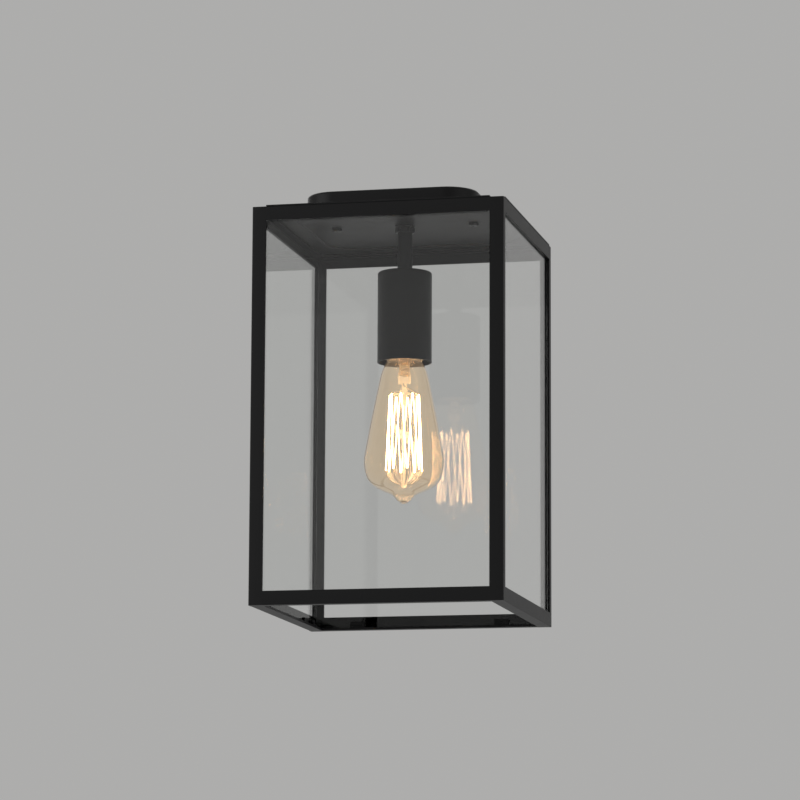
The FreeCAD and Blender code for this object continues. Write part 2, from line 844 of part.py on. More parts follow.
def envelope_outline(inset):
    """(radius, height above the tip) down the flank, round the belly, to the tip."""
    neck = lamp_length - cap_length - neck_round
    flank = [(0.0, 1.0), (0.16, 0.932), (0.381, 0.774), (0.577, 0.552), (0.768, 0.331),
             (0.938, 0.110), (1.0, 0.0)]
    belly = [(0.95, 0.298), (0.836, 0.557), (0.564, 0.76), (0.18, 0.916)]
    knob = [(0.93, 1.0), (0.7, 0.66), (0.34, 0.13), (0.0, 0.0)]
    points = [(neck_radius, lamp_length - cap_length + neck_grip)]
    for wide, high in flank:
        points.append((neck_radius + (lamp_radius - neck_radius) * wide,
                       belly_height + (neck - belly_height) * high))
    for wide, low in belly:
        points.append((knob_radius + (lamp_radius - knob_radius) * wide,
                       belly_height - (belly_height - knob_height) * low))
    for wide, high in knob:
        points.append((knob_radius * wide, knob_height * high))
    if not inset:
        return points
    moved = []
    for i, (a, b) in enumerate(points):
        before = points[max(i - 1, 0)]
        after = points[min(i + 1, len(points) - 1)]
        da, db = after[0] - before[0], after[1] - before[1]
        size = math.hypot(da, db)
        moved.append((max(a + db / size * inset, 0.0), b - da / size * inset))
    moved[-1] = (0, inset * 2.2)
    return moved


def outline_edge(points):
    curve = Part.BSplineCurve()
    corners = [vec(a, 0, lamp_tip + b) for a, b in points]
    curve.interpolate(corners)
    return curve.toShape(), corners


def lamp_glass():
    """Pear-shaped envelope with a pinched tip, open at the neck."""
    outer, o = outline_edge(envelope_outline(0))
    inner, i = outline_edge(envelope_outline(glass_wall))
    top = Part.LineSegment(i[0], o[0]).toShape()
    axis = Part.LineSegment(o[-1], i[-1]).toShape()
    profile = Part.Wire([top, outer, axis, inner.reversed()])
    shape = Part.Face(profile).revolve(vec(0, 0, 0), vec(0, 0, 1), 360)
    return shape if shape.Volume > 0 else shape.reversed()


def lamp_cap():
    """Drawn brass cap: skirt, plain body and an inturned shoulder at the top."""
    r = cap_radius
    t = cap_sheet
    shoulder = cap_top - cap_slope
    return lathe([(r, cap_rim), (r, shoulder), (cap_shoulder, cap_top),
                  (cap_shoulder - cap_lip, cap_top - t), (r - t, shoulder - t / 2),
                  (r - t, cap_rim)])


def cap_insulator():
    """Black glass plug that stands on the cap's shoulder and tapers to the contact."""
    low = cap_top + fit_gap
    top = lamp_contact - contact_height
    edge = cap_shoulder - 2 * cap_lip
    return lathe([(0, low), (edge, low), (edge - cap_lip, low + cap_lip),
                  (contact_radius + cap_lip, top), (0, top)])


def cap_contact():
    top = lamp_contact
    low = top - contact_height
    edge = contact_height / 2
    return lathe([(0, low), (contact_radius, low), (contact_radius, top - edge),
                  (contact_radius - 3 * edge, top), (0, top)])


def lamp_mount():
    """Glass flare, stem and flat pinch, then the rod with its two beads."""
    base = lamp_tip
    neck = base + lamp_length - cap_length + neck_grip
    pinch = base + mount_height
    hub = base + hub_height
    bead = base + bead_height
    flare = neck_radius - glass_wall - fit_gap
    r = bead_radius
    stem = lathe([(0, neck), (flare, neck), (flare, neck - glass_wall),
                  (mount_radius + flare_round, neck - 2 * flare_round),
                  (mount_radius, neck - 4 * flare_round), (mount_radius, pinch), (0, pinch)])
    wide = Part.makeCircle(mount_radius, vec(0, 0, pinch))
    flat = Part.Ellipse(vec(0, 0, pinch - pinch_fall), pinch_half, pinch_thin).toShape()
    press = Part.makeLoft([Part.Wire(wide), Part.Wire(flat)], True)
    blade = Part.Face(Part.Wire(flat)).extrude(vec(0, 0, -pinch_length))
    low = pinch - pinch_fall - pinch_length
    tail = lathe([(0, low), (pinch_thin, low), (r, hub + r / 2), (r, hub - r / 2),
                  (post_rod, hub - r), (post_rod, bead + r), (r, bead + r / 2),
                  (r, bead - r / 2), (post_rod, bead - r), (0, bead - r)])
    return clean(stem.fuse(press).fuse(blade).fuse(tail))


def hook_angles(offset, count):
    step = 360.0 / cage_loops
    return [step * (i + offset) for i in range(count)]


def lamp_supports():
    """Seven wires from the hub, two lead-in wires from the pinch, eight lower hooks."""
    wires = []
    z_hub = lamp_tip + hub_height
    z_top = lamp_tip + cage_top_height
    reach = cage_top - filament_radius - wire_gap
    for a in hook_angles(1, cage_loops - 1):
        spoke = swept([(bead_radius, 0, z_hub), (reach * 0.6, 0, z_hub),
                       (reach, 0, z_top)], wire_bend, wire_radius)
        wires.append(turned(spoke, a))
    z_pinch = lamp_tip + mount_height - pinch_fall - pinch_length
    for side in (-1, 1):
        a = math.radians(side * lead_in_angle)
        x, y = reach * math.cos(a), reach * math.sin(a)
        start = side * pinch_half * 0.6
        wires.append(swept([(0, start, z_pinch), (0, start, z_pinch - wire_bend),
                            (x * 0.6, y, z_hub + wire_bend), (x, y, z_top)],
                           wire_bend, wire_radius))
    z_bead = lamp_tip + bead_height
    z_low = lamp_tip + cage_bottom_height - filament_radius - wire_gap
    rise = z_low - z_bead
    for a in hook_angles(0.5, cage_loops):
        hook = swept([(bead_radius, 0, z_bead), (cage_bottom * 0.4, 0, z_bead),
                      (cage_bottom * 0.86, 0, z_bead + rise * 0.42),
                      (cage_bottom, 0, z_low)], 2 * wire_bend, wire_radius)
        wires.append(turned(hook, a))
    return Part.makeCompound(wires)


def filament():
    """One wire that zigzags between the lead-in wires, over eight lower hooks."""
    z_top = lamp_tip + cage_top_height
    z_low = lamp_tip + cage_bottom_height

    def around(radius, degrees, nudge, z):
        a = math.radians(degrees) + nudge / radius
        return radius * math.cos(a), radius * math.sin(a), z

    points = [around(cage_top, lead_in_angle, 0, z_top)]
    upper = hook_angles(1, cage_loops - 1) + [360 - lead_in_angle]
    for low, top in zip(hook_angles(0.5, cage_loops), upper):
        points.append(around(cage_bottom, low, -hook_half, z_low))
        points.append(around(cage_bottom, low, hook_half, z_low))
        if top < 360 - lead_in_angle:
            points.append(around(cage_top, top, -hook_half, z_top))
            points.append(around(cage_top, top, hook_half, z_top))
        else:
            points.append(around(cage_top, top, 0, z_top))
    return swept(points, hook_half, filament_radius)


PIECES = {
    "ceiling_pan": ceiling_pan,
    "cable_grommet": cable_grommet,
    "lid_pillars": lid_pillars,
    "lid_screws": lid_screws,
    "terminal_block": terminal_block,
    "terminal_barrels": terminal_barrels,
    "terminal_screws": terminal_screws,
    "earth_terminal": earth_terminal,
    "lid": lid,
    "pane_clips": pane_clips,
    "stem_nipple": stem_nipple,
    "stem_lock_nut": lock_nut,
    "stem_lock_washer": lock_washer_piece,
    "stem_washer": stem_washer,
    "stem_nut": stem_nut,
    "stem_tube": stem_tube,
    "holder_shell": holder_shell,
    "holder_nipple": holder_nipple,
    "holder_nut": holder_nut,
    "holder_bridge": holder_bridge,
    "bridge_screws": bridge_screws,
    "holder_core": holder_core,
    "holder_terminals": holder_terminals,
    "holder_sleeve": holder_sleeve,
    "centre_contact": centre_contact,
    "live_lead": live_lead,
    "neutral_lead": neutral_lead,
    "earth_lead": earth_lead,
    "lamp_cap": lamp_cap,
    "lamp_glass": lamp_glass,
    "lamp_mount": lamp_mount,
    "lamp_supports": lamp_supports,
    "lamp_filament": filament,
    "cap_insulator": cap_insulator,
    "cap_contact": cap_contact,
}


def write(name, shape):
    if not shape.isValid():
        raise ValueError(name + " is not a valid shape")
    shape.exportStep("parts/" + name + ".step")
    print(name, "solids", len(shape.Solids), "volume", round(shape.Volume, 1))


def main():
    os.makedirs("parts", exist_ok=True)
    for name, make in PIECES.items():
        write(name, make())
    for side in ("front", "back", "left", "right"):
        write("top_rail_" + side, rail(side, True))
        write("bottom_rail_" + side, rail(side, False))
        write("pane_" + side, pane(side))
    for y_side, y_name in ((-1, "front"), (1, "back")):
        for x_side, x_name in ((-1, "left"), (1, "right")):
            write("post_" + y_name + "_" + x_name, post(x_side, y_side))


main()
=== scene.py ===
"""Looks of the porch ceiling lantern, laid out as an add-on and run as a script."""
import json
import math

import bmesh
import bpy
from mathutils import Matrix, Vector


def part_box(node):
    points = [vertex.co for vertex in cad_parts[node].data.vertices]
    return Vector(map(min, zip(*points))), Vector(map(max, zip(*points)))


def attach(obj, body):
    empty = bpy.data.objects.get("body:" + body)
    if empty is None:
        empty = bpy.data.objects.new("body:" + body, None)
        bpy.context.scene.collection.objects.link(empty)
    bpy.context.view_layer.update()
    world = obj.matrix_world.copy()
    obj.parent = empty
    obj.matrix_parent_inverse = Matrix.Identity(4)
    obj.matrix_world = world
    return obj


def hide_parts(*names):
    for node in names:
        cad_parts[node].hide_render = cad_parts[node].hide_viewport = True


bl_info = {
    "name": "Porch Ceiling Lantern",
    "version": (1, 0, 0),
    "blender": (4, 5, 0),
    "location": "3D View > Sidebar > Lantern",
    "description": "Dresses a glazed box lantern with its metal, glass, lamp and wiring",
    "category": "Object",
}

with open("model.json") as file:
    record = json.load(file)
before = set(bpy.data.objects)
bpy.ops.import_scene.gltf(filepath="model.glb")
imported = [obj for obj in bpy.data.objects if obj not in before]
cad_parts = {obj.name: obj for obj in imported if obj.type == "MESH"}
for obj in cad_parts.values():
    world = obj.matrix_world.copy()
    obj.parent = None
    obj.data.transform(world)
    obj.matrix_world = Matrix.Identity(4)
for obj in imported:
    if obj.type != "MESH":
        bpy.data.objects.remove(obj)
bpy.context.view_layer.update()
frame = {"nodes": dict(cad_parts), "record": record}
SLOT_OF = {s["node"]: s["material_slot"] for s in frame["record"]["subparts"]}
BODY_OF = {n: b for b, nodes in frame["record"]["behaviour"]["bodies"].items() for n in nodes}


# --- Sizes and colours that a user would change ---

class LanternSizes(bpy.types.PropertyGroup):
    edge: bpy.props.FloatProperty(
        name="Edge round", description="Round on the edges of the metal sections",
        default=0.0003, min=0.0, unit="LENGTH")
    sheet_edge: bpy.props.FloatProperty(
        name="Sheet edge round", description="Round on the edges of thin sheet pieces",
        default=0.00012, min=0.0, unit="LENGTH")
    thread_pitch: bpy.props.FloatProperty(
        name="Cap thread pitch", description="Pitch of the lamp cap's screw thread",
        default=0.003629, min=0.001, unit="LENGTH")
    thread_depth: bpy.props.FloatProperty(
        name="Cap thread depth", description="Root to crest of the cap's rolled thread",
        default=0.00062, min=0.0, unit="LENGTH")
    skirt: bpy.props.FloatProperty(
        name="Cap skirt", description="Plain band at the rim of the lamp cap",
        default=0.0042, min=0.0, unit="LENGTH")
    cap_wall: bpy.props.FloatProperty(
        name="Cap sheet", description="Thickness of the lamp cap's brass",
        default=0.0003, min=0.0001, unit="LENGTH")
    cap_slope: bpy.props.FloatProperty(
        name="Cap shoulder", description="Height of the lamp cap's sloping shoulder",
        default=0.0026, min=0.0005, unit="LENGTH")
    cap_opening: bpy.props.FloatProperty(
        name="Cap opening", description="Radius of the opening at the top of the lamp cap",
        default=0.0096, min=0.001, unit="LENGTH")
    sleeve_turns: bpy.props.FloatProperty(
        name="Sleeve turns", description="Turns of thread in the lampholder's sleeve",
        default=3.4, min=0.5)
    fine_pitch: bpy.props.FloatProperty(
        name="Nipple pitch", description="Thread pitch of the nipples", default=0.001,
        min=0.0004, unit="LENGTH")
    screw_pitch: bpy.props.FloatProperty(
        name="Screw pitch", description="Thread pitch of the lid screws", default=0.0007,
        min=0.0003, unit="LENGTH")
    screw_turns: bpy.props.FloatProperty(
        name="Screw turns", description="Turns of thread on each lid screw", default=13.0,
        min=1.0)
    eye: bpy.props.FloatProperty(
        name="Eyelet", description="Radius of the eyelets that carry the filament",
        default=0.00062, min=0.0001, unit="LENGTH")
    eye_wire: bpy.props.FloatProperty(
        name="Eyelet wire", description="Radius of the eyelets' wire", default=0.00018,
        min=0.00005, unit="LENGTH")
    hooks: bpy.props.IntProperty(
        name="Hooks", description="Lower hooks of the squirrel cage", default=8, min=3)
    cage_top: bpy.props.FloatProperty(
        name="Cage top", description="Radius of the filament cage at the upper hooks",
        default=0.012, min=0.001, unit="LENGTH")
    cage_bottom: bpy.props.FloatProperty(
        name="Cage bottom", description="Radius of the filament cage at the lower hooks",
        default=0.0146, min=0.001, unit="LENGTH")


class LanternFinish(bpy.types.PropertyGroup):
    metal: bpy.props.FloatVectorProperty(
        name="Black coat", description="Powder coat on the frame, pan and lampholder",
        default=(0.0045, 0.0045, 0.0048), subtype="COLOR", min=0.0, max=1.0)
    envelope: bpy.props.FloatVectorProperty(
        name="Envelope tint", description="Tint of the lamp's glass",
        default=(1.0, 0.92, 0.80), subtype="COLOR", min=0.0, max=1.0)
    pane: bpy.props.FloatVectorProperty(
        name="Pane tint", description="Tint of the panes",
        default=(0.968, 0.975, 0.970), subtype="COLOR", min=0.0, max=1.0)
    glow: bpy.props.FloatVectorProperty(
        name="Filament glow", description="Colour of the lit filament",
        default=(1.0, 0.67, 0.38), subtype="COLOR", min=0.0, max=1.0)
    glow_strength: bpy.props.FloatProperty(
        name="Glow strength", description="Strength of the lit filament", default=46.0,
        min=0.0)
    backdrop: bpy.props.FloatVectorProperty(
        name="Backdrop", description="Plain tone behind the lantern",
        default=(0.42, 0.418, 0.412), subtype="COLOR", min=0.0, max=1.0)
    daylight: bpy.props.FloatProperty(
        name="Room light", description="Strength of the light from all round", default=0.65,
        min=0.0)


def sizes():
    return bpy.context.scene.lantern_sizes


def finish():
    return bpy.context.scene.lantern_finish


# --- Materials ---

def new_material(slot):
    mat = bpy.data.materials.new("look " + slot)
    mat.use_nodes = True
    return mat, mat.node_tree.nodes, mat.node_tree.links, mat.node_tree.nodes["Principled BSDF"]


def object_noise(nodes, links, scale, detail):
    coords = nodes.new("ShaderNodeTexCoord")
    noise = nodes.new("ShaderNodeTexNoise")
    noise.inputs["Scale"].default_value = scale
    noise.inputs["Detail"].default_value = detail
    links.new(coords.outputs["Object"], noise.inputs["Vector"])
    return noise


def vary(nodes, links, noise, socket, low, high):
    span = nodes.new("ShaderNodeMapRange")
    span.inputs["To Min"].default_value = low
    span.inputs["To Max"].default_value = high
    links.new(noise.outputs["Fac"], span.inputs["Value"])
    links.new(span.outputs["Result"], socket)


def bumped(nodes, links, noise, bsdf, strength, distance):
    bump = nodes.new("ShaderNodeBump")
    bump.inputs["Strength"].default_value = strength
    bump.inputs["Distance"].default_value = distance
    links.new(noise.outputs["Fac"], bump.inputs["Height"])
    links.new(bump.outputs["Normal"], bsdf.inputs["Normal"])


def solid_finish(name, colour, rough, metallic=0.0, grain=900.0, bump=0.05, spread=0.06,
                 coat=0.0, specular=0.5):
    """Opaque finish: even colour, roughness that wanders a little, fine bump."""
    grain_depth = 0.0002
    mat, nodes, links, bsdf = new_material(name)
    bsdf.inputs["Base Color"].default_value = (*colour, 1.0)
    bsdf.inputs["Metallic"].default_value = metallic
    bsdf.inputs["Specular IOR Level"].default_value = specular
    bsdf.inputs["Coat Weight"].default_value = coat
    bsdf.inputs["Coat Roughness"].default_value = 0.08
    wide = object_noise(nodes, links, grain / 12, 2.0)
    vary(nodes, links, wide, bsdf.inputs["Roughness"], rough - spread, rough + spread)
    fine = object_noise(nodes, links, grain, 3.0)
    bumped(nodes, links, fine, bsdf, bump, grain_depth)
    return mat


def clear_finish(name, colour, ior=1.5, rough=0.0, waves=0.0):
    """Glass, tinted where light goes through, with the waviness of blown glass."""
    haze_span, wave_depth = 0.002, 0.0004
    mat, nodes, links, bsdf = new_material(name)
    bsdf.inputs["Base Color"].default_value = (*colour, 1.0)
    bsdf.inputs["Transmission Weight"].default_value = 1.0
    bsdf.inputs["IOR"].default_value = ior
    haze = object_noise(nodes, links, 30.0, 2.0)
    vary(nodes, links, haze, bsdf.inputs["Roughness"], rough, rough + haze_span)
    if waves > 0:
        bumped(nodes, links, object_noise(nodes, links, 14.0, 1.0), bsdf, waves, wave_depth)
    return mat


def mount_finish():
    """Lamp-worked glass with a painted amber glow, stronger lower down towards the filament
    below.
    """
    f = finish()
    painted_glow_height = 0.030                  # from the top down to where the painted glow is full
    mat = clear_finish("mount_glass", (1.0, 0.95, 0.86), 1.48, 0.02, 0.35)
    nodes, links = mat.node_tree.nodes, mat.node_tree.links
    bsdf = nodes["Principled BSDF"]
    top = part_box("lamp_mount")[1][2]
    split = nodes.new("ShaderNodeSeparateXYZ")
    coords = nodes.new("ShaderNodeTexCoord")
    links.new(coords.outputs["Object"], split.inputs["Vector"])
    painted_glow_ramp = nodes.new("ShaderNodeMapRange")
    painted_glow_ramp.interpolation_type = "SMOOTHSTEP"
    painted_glow_ramp.inputs["From Min"].default_value = top
    painted_glow_ramp.inputs["From Max"].default_value = top - painted_glow_height
    painted_glow_ramp.inputs["To Min"].default_value = 0.05
    painted_glow_ramp.inputs["To Max"].default_value = 0.30
    links.new(split.outputs["Z"], painted_glow_ramp.inputs["Value"])
    # painted glow: the glass itself emits, 0.05 at the top rising to 0.30 lower down
    links.new(painted_glow_ramp.outputs["Result"], bsdf.inputs["Emission Strength"])
    bsdf.inputs["Emission Color"].default_value = (*f.glow, 1.0)


def envelope_finish():
    """Blown glass, faintly warm, with a faint painted glow in the filament's colour."""
    f = finish()
    mat = clear_finish("amber_glass", f.envelope, 1.47, 0.0, 0.012)
    bsdf = mat.node_tree.nodes["Principled BSDF"]
    # painted glow: the envelope glass itself emits a little light in the filament's colour
    bsdf.inputs["Emission Color"].default_value = (*f.glow, 1.0)
    bsdf.inputs["Emission Strength"].default_value = 0.03


def glow_finish():
    f = finish()
    nodes, links, bsdf = new_material("filament_glow")[1:]
    bsdf.inputs["Base Color"].default_value = (*f.glow, 1.0)
    bsdf.inputs["Roughness"].default_value = 0.6
    bsdf.inputs["Emission Color"].default_value = (*f.glow, 1.0)
    bsdf.inputs["Emission Strength"].default_value = f.glow_strength
    noise = object_noise(nodes, links, 500.0, 2.0)
    vary(nodes, links, noise, bsdf.inputs["Roughness"], 0.55, 0.7)


def striped_finish():
    """Green insulation with a yellow stripe that runs along the lead."""
    green, yellow = (0.05, 0.26, 0.05), (0.75, 0.62, 0.04)
    stripe_from = 0.00035               # the yellow side starts this far right of the middle
    mat = solid_finish("lead_green", green, 0.42, grain=600.0, bump=0.02)
    nodes, links = mat.node_tree.nodes, mat.node_tree.links
    bsdf = nodes["Principled BSDF"]
    coords = nodes.new("ShaderNodeTexCoord")
    split = nodes.new("ShaderNodeSeparateXYZ")
    test = nodes.new("ShaderNodeMath")
    test.operation = "GREATER_THAN"
    test.inputs[1].default_value = stripe_from
    mix = nodes.new("ShaderNodeMix")
    mix.data_type = "RGBA"
    mix.inputs[6].default_value = (*green, 1.0)
    mix.inputs[7].default_value = (*yellow, 1.0)
    links.new(coords.outputs["Object"], split.inputs["Vector"])
    links.new(split.outputs["X"], test.inputs[0])
    links.new(test.outputs["Value"], mix.inputs[0])
    links.new(mix.outputs[2], bsdf.inputs["Base Color"])


def material(slot):
    return bpy.data.materials["look " + slot]


# --- Shapes ---

def put(obj, node, slot=None, replaces=True):
    """Adds the piece to the scene, on its node's body and in its material slot."""
    bpy.context.scene.collection.objects.link(obj)
    slot = slot or SLOT_OF[node]
    obj.data.materials.clear()
    obj.data.materials.append(material(slot))
    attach(obj, BODY_OF[node])
    if replaces:
        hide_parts(node)
    return obj


def dressed(node, name, edge=0.0, smooth=32.0, slot=None):
    """Merged copy of a solid, smooth where it is round, with its edges eased."""
    mesh = frame["nodes"][node].data.copy()
    mesh.name = name
    if mesh.has_custom_normals:
        mesh.attributes.remove(mesh.attributes["custom_normal"])
    bm = bmesh.new()
    bm.from_mesh(mesh)
    bmesh.ops.remove_doubles(bm, verts=bm.verts, dist=1e-6)
    bmesh.ops.dissolve_limit(bm, angle_limit=math.radians(0.4), verts=bm.verts, edges=bm.edges)
    bmesh.ops.triangulate(bm, faces=[f for f in bm.faces if len(f.verts) > 4])
    bm.to_mesh(mesh)
    bm.free()
    mesh.shade_smooth()
    mesh.set_sharp_from_angle(angle=math.radians(smooth))
    obj = bpy.data.objects.new(name, mesh)
    if edge > 0:
        bevel = obj.modifiers.new("edge", "BEVEL")
        bevel.width = edge
        bevel.segments = 2
        bevel.limit_method = "ANGLE"
        bevel.angle_limit = math.radians(40)
    return put(obj, node, slot=slot)


def mesh_object(name, points, faces, smooth):
    mesh = bpy.data.meshes.new(name)
    mesh.from_pydata(points, [], faces)
    mesh.validate()
    bm = bmesh.new()
    bm.from_mesh(mesh)
    bmesh.ops.remove_doubles(bm, verts=bm.verts, dist=1e-7)
    bmesh.ops.recalc_face_normals(bm, faces=bm.faces)
    bm.to_mesh(mesh)
    bm.free()
    mesh.shade_smooth()
    mesh.set_sharp_from_angle(angle=math.radians(smooth))
    return bpy.data.objects.new(name, mesh)


def turned_rows(rows, around):
    """Skin turned about the axis. A row is (radius, z), or (radius at an angle, z)."""
    points, faces = [], []
    for radius_at, z in rows:
        for j in range(around):
            a = 2 * math.pi * j / around
            r = radius_at(a) if callable(radius_at) else radius_at
            points.append((r * math.cos(a), r * math.sin(a), z))
    for i in range(len(rows) - 1):
        for j in range(around):
            k = (j + 1) % around
            faces.append((i * around + j, i * around + k, (i + 1) * around + k,
                          (i + 1) * around + j))
    return points, faces


def glass_profile(node):
    """Outer and inner (radius, z) lines of a blown envelope, from top to tip."""
    mesh = frame["nodes"][node].data
    outer, inner = set(), set()
    for face in mesh.polygons:
        c, n = face.center, face.normal
        radial = (n.x * c.x + n.y * c.y) / max(math.hypot(c.x, c.y), 1e-9)
        side = outer if radial - 0.5 * n.z > 0 else inner
        for v in face.vertices:
            p = mesh.vertices[v].co
            side.add((round(math.hypot(p.x, p.y), 6), round(p.z, 6)))
    return [sorted(points, key=lambda q: -q[1]) for points in (outer, inner - outer)]


def eased(line, passes, least):
    """Line of (radius, z), smoothed wherever it is wider than the least radius."""
    for _ in range(passes):
        line = ([line[0]]
                + [((a[0] + 2 * b[0] + c[0]) / 4, (a[1] + 2 * b[1] + c[1]) / 4)
                   if b[0] > least else b for a, b, c in zip(line, line[1:], line[2:])]
                + [line[-1]])
    return line


def even(line, count):
    """Evenly spaced points along a line of (radius, z), ends kept."""
    reach = [0.0]
    for a, b in zip(line, line[1:]):
        reach.append(reach[-1] + math.hypot(b[0] - a[0], b[1] - a[1]))
    result, i = [], 0
    for k in range(count):
        want = reach[-1] * k / (count - 1)
        while i < len(reach) - 2 and reach[i + 1] < want:
            i += 1
        share = (want - reach[i]) / max(reach[i + 1] - reach[i], 1e-12)
        a, b = line[i], line[i + 1]
        result.append((a[0] + (b[0] - a[0]) * share, a[1] + (b[1] - a[1]) * share))
    return result


# --- Geometry nodes ---

def node_tree(name, inputs):
    """Tree with named inputs, a material input and a geometry output."""
    tree = bpy.data.node_groups.new(name, "GeometryNodeTree")
    tree.interface.new_socket("Geometry", in_out="OUTPUT", socket_type="NodeSocketGeometry")
    tree.interface.new_socket("Geometry", in_out="INPUT", socket_type="NodeSocketGeometry")
    for label, kind in inputs:
        tree.interface.new_socket(label, in_out="INPUT", socket_type=kind)
    tree.interface.new_socket("Material", in_out="INPUT", socket_type="NodeSocketMaterial")
    return tree, tree.nodes.new("NodeGroupInput"), tree.nodes.new("NodeGroupOutput")


def eyelet_tree():
    """Ring of wire eyelets that stand in the planes through the axis."""
    tree, given, result = node_tree("eyelets", [
        ("Count", "NodeSocketInt"), ("Skip", "NodeSocketInt"), ("Radius", "NodeSocketFloat"),
        ("Height", "NodeSocketFloat"), ("First angle", "NodeSocketFloat"),
        ("Eye", "NodeSocketFloat"), ("Wire", "NodeSocketFloat")])
    n, link = tree.nodes, tree.links.new
    ring = n.new("GeometryNodeMeshCircle")
    link(given.outputs["Count"], ring.inputs["Vertices"])
    link(given.outputs["Radius"], ring.inputs["Radius"])
    index = n.new("GeometryNodeInputIndex")
    below = n.new("FunctionNodeCompare")
    below.data_type = "INT"
    below.operation = "LESS_THAN"
    link(index.outputs[0], below.inputs[2])
    link(given.outputs["Skip"], below.inputs[3])
    drop = n.new("GeometryNodeDeleteGeometry")
    link(ring.outputs["Mesh"], drop.inputs["Geometry"])
    link(below.outputs["Result"], drop.inputs["Selection"])
    place = n.new("GeometryNodeTransform")
    lift = n.new("ShaderNodeCombineXYZ")
    spin = n.new("ShaderNodeCombineXYZ")
    link(given.outputs["Height"], lift.inputs["Z"])
    link(given.outputs["First angle"], spin.inputs["Z"])
    link(lift.outputs[0], place.inputs["Translation"])
    link(spin.outputs[0], place.inputs["Rotation"])
    link(drop.outputs[0], place.inputs["Geometry"])
    eye = n.new("GeometryNodeCurvePrimitiveCircle")
    eye.inputs["Resolution"].default_value = 20
    link(given.outputs["Eye"], eye.inputs["Radius"])
    wire = n.new("GeometryNodeCurvePrimitiveCircle")
    wire.inputs["Resolution"].default_value = 8
    link(given.outputs["Wire"], wire.inputs["Radius"])
    loop = n.new("GeometryNodeCurveToMesh")
    link(eye.outputs["Curve"], loop.inputs["Curve"])
    link(wire.outputs["Curve"], loop.inputs["Profile Curve"])
    stand = n.new("GeometryNodeTransform")
    stand.inputs["Rotation"].default_value = (math.pi / 2, 0.0, 0.0)
    link(loop.outputs["Mesh"], stand.inputs["Geometry"])
    where = n.new("GeometryNodeInputPosition")
    flat = n.new("ShaderNodeVectorMath")
    flat.operation = "MULTIPLY"
    flat.inputs[1].default_value = (1.0, 1.0, 0.0)
    link(where.outputs[0], flat.inputs[0])
    face = n.new("FunctionNodeAlignEulerToVector")
    face.axis = "X"
    face.pivot_axis = "Z"
    link(flat.outputs["Vector"], face.inputs["Vector"])
    each = n.new("GeometryNodeInstanceOnPoints")
    link(place.outputs["Geometry"], each.inputs["Points"])
    link(stand.outputs["Geometry"], each.inputs["Instance"])
    link(face.outputs["Rotation"], each.inputs["Rotation"])
    real = n.new("GeometryNodeRealizeInstances")
    link(each.outputs["Instances"], real.inputs["Geometry"])
    paint = n.new("GeometryNodeSetMaterial")
    link(real.outputs["Geometry"], paint.inputs["Geometry"])
    link(given.outputs["Material"], paint.inputs["Material"])
    link(paint.outputs["Geometry"], result.inputs["Geometry"])
    return tree


def thread_tree():
    """Helical ridge about a vertical axis."""
    tree, given, result = node_tree("thread", [
        ("Radius", "NodeSocketFloat"), ("Pitch", "NodeSocketFloat"),
        ("Turns", "NodeSocketFloat"), ("Ridge", "NodeSocketFloat"),
        ("Place", "NodeSocketVector")])
    n, link = tree.nodes, tree.links.new
    helix = n.new("GeometryNodeCurveSpiral")
    helix.inputs["Resolution"].default_value = 40
    link(given.outputs["Turns"], helix.inputs["Rotations"])
    link(given.outputs["Radius"], helix.inputs["Start Radius"])
    link(given.outputs["Radius"], helix.inputs["End Radius"])
    rise = n.new("ShaderNodeMath")
    rise.operation = "MULTIPLY"
    link(given.outputs["Pitch"], rise.inputs[0])
    link(given.outputs["Turns"], rise.inputs[1])
    link(rise.outputs[0], helix.inputs["Height"])
    ridge = n.new("GeometryNodeCurvePrimitiveCircle")
    ridge.inputs["Resolution"].default_value = 8
    link(given.outputs["Ridge"], ridge.inputs["Radius"])
    body = n.new("GeometryNodeCurveToMesh")
    body.inputs["Fill Caps"].default_value = True
    link(helix.outputs["Curve"], body.inputs["Curve"])
    link(ridge.outputs["Curve"], body.inputs["Profile Curve"])
    place = n.new("GeometryNodeTransform")
    link(body.outputs["Mesh"], place.inputs["Geometry"])
    link(given.outputs["Place"], place.inputs["Translation"])
    real = n.new("GeometryNodeRealizeInstances")
    link(place.outputs["Geometry"], real.inputs["Geometry"])
    paint = n.new("GeometryNodeSetMaterial")
    link(real.outputs["Geometry"], paint.inputs["Geometry"])
    link(given.outputs["Material"], paint.inputs["Material"])
    link(paint.outputs["Geometry"], result.inputs["Geometry"])
    return tree


def grown(name, tree, values, slot):
    """Runs a tree on an empty mesh and returns the result as a plain mesh."""
    host = bpy.data.objects.new(name + "_host", bpy.data.meshes.new(name + "_host"))
    bpy.context.scene.collection.objects.link(host)
    modifier = host.modifiers.new("grow", "NODES")
    modifier.node_group = tree
    ids = {item.name: item.identifier for item in tree.interface.items_tree
           if item.in_out == "INPUT"}
    for label, value in values.items():
        modifier[ids[label]] = value
    modifier[ids["Material"]] = material(slot)
    graph = bpy.context.evaluated_depsgraph_get()
    mesh = bpy.data.meshes.new_from_object(host.evaluated_get(graph))
    host.modifiers.remove(modifier)
    bpy.data.objects.remove(host)
    if not mesh.polygons:
        raise RuntimeError(name + " grew no faces")
    mesh.name = name
    mesh.shade_smooth()
    mesh.set_sharp_from_angle(angle=math.radians(50))
    return bpy.data.objects.new(name, mesh)


# --- Stage ---

def photo_camera():
    """Camera below and to the right of the lantern, looking up at its front."""
    camera = bpy.data.objects.new("camera", bpy.data.cameras.new("camera"))
    camera.data.lens = 169.33
    camera.data.sensor_width = 36.0
    camera.data.clip_end = 60.0
    level = Matrix(((1, 0, 0), (0, 0, -1), (0, 1, 0)))      # right, down, forward
    turn = Matrix.Rotation(0.27716, 3, Vector((-0.59205, 0.80439, -0.04950)))
    right, down, forward = turn @ level
    axes = Matrix((right, -down, -forward)).transposed()
    place = Vector((0.65178, -2.87964, -0.64646))
    camera.matrix_world = Matrix.Translation(place) @ axes.to_4x4()
    return camera


